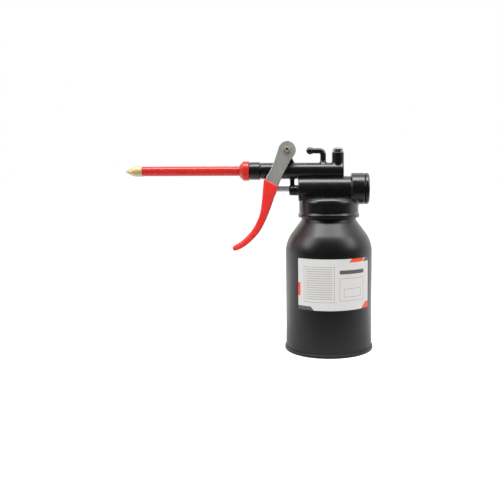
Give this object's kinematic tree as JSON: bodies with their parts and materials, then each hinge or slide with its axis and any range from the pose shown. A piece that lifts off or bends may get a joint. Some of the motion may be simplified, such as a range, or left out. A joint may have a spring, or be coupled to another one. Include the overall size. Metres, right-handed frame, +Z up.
{
  "type": "pump oil can",
  "caption": "Squeeze-lever pump oil can: steel bottle, screwed-on die-cast pump head with ball valves, dipped grip and straight rigid spout with a brass nozzle.",
  "frame": {"origin": "centre of the bottle's rest face, on the floor", "axes": "+Z up along the bottle's axis, -X towards the nozzle tip along the spout, +Y away from the side seen in the picture"},
  "size_m": [0.173, 0.063, 0.1469],
  "materials": {
    "black_paint": "satin black",
    "red_paint": "gloss red",
    "red_vinyl": "dipped soft vinyl, satin red",
    "satin_steel": "satin grey",
    "bright_steel": "bright",
    "bright_plug": "polished",
    "brass": "machined",
    "black_rubber": "matt",
    "clear_tube": "milky clear"
  },
  "bodies": {
    "bottle": {"bottle_shell": "black_paint", "bottle_base": "black_paint"},
    "gasket": {"neck_gasket": "black_rubber"},
    "head": {"head_casting": "black_paint", "inlet_valve": "brass", "suction_tube": "clear_tube", "outlet_spring": "bright_steel", "plug_washer": "black_rubber", "outlet_plug": "bright_plug", "rear_cap": "black_paint", "rear_cap_seal": "black_rubber", "return_spring": "bright_steel", "rod_packing": "black_rubber", "packing_washer": "bright_steel", "pivot_rivet": "brass", "union_sleeve": "black_paint", "spout_seal": "black_rubber", "spout_nut": "red_paint", "spout_tube": "red_paint", "nozzle_tip": "brass"},
    "lever": {"lever": "satin_steel", "lever_grip": "red_vinyl"},
    "piston": {"piston": "brass", "piston_seal": "black_rubber", "piston_rod": "bright_steel"},
    "inlet_ball": {"inlet_ball": "bright_steel"},
    "outlet_ball": {"outlet_ball": "bright_steel"}
  },
  "joints": [
    {"name": "thread_lift", "type": "slide", "parent": "bottle", "child": "gasket", "axis": [0, 0, 1], "range_m": [0, 0.007]},
    {"name": "head_turn", "type": "hinge", "parent": "gasket", "child": "head", "pos_m": [0, 0, 0.1012], "axis": [0, 0, 1], "range_deg": [0, 720]},
    {"name": "lever_swing", "type": "hinge", "parent": "head", "child": "lever", "pos_m": [-0.0289, 0, 0.141], "axis": [0, -1, 0], "range_deg": [0, 18], "stiffness_Nm_per_rad": 0.6, "springref_deg": -14.32},
    {"name": "piston_slide", "type": "slide", "parent": "head", "child": "piston", "axis": [1, 0, 0], "range_m": [0, 0.0088], "deforming": ["return_spring"]},
    {"name": "inlet_ball_lift", "type": "slide", "parent": "head", "child": "inlet_ball", "axis": [0, 0, 1], "range_m": [0, 0.0015]},
    {"name": "outlet_ball_lift", "type": "slide", "parent": "head", "child": "outlet_ball", "axis": [0, 0, 1], "range_m": [0, 0.0012], "stiffness_N_per_m": 60, "springref_m": -0.002, "deforming": ["outlet_spring"]}
  ],
  "couplings": [
    {"joint": "thread_lift", "follows": "head_turn", "m_per_rad": 0.000557},
    {"joint": "piston_slide", "follows": "lever_swing", "m_per_rad": 0.028}
  ]
}
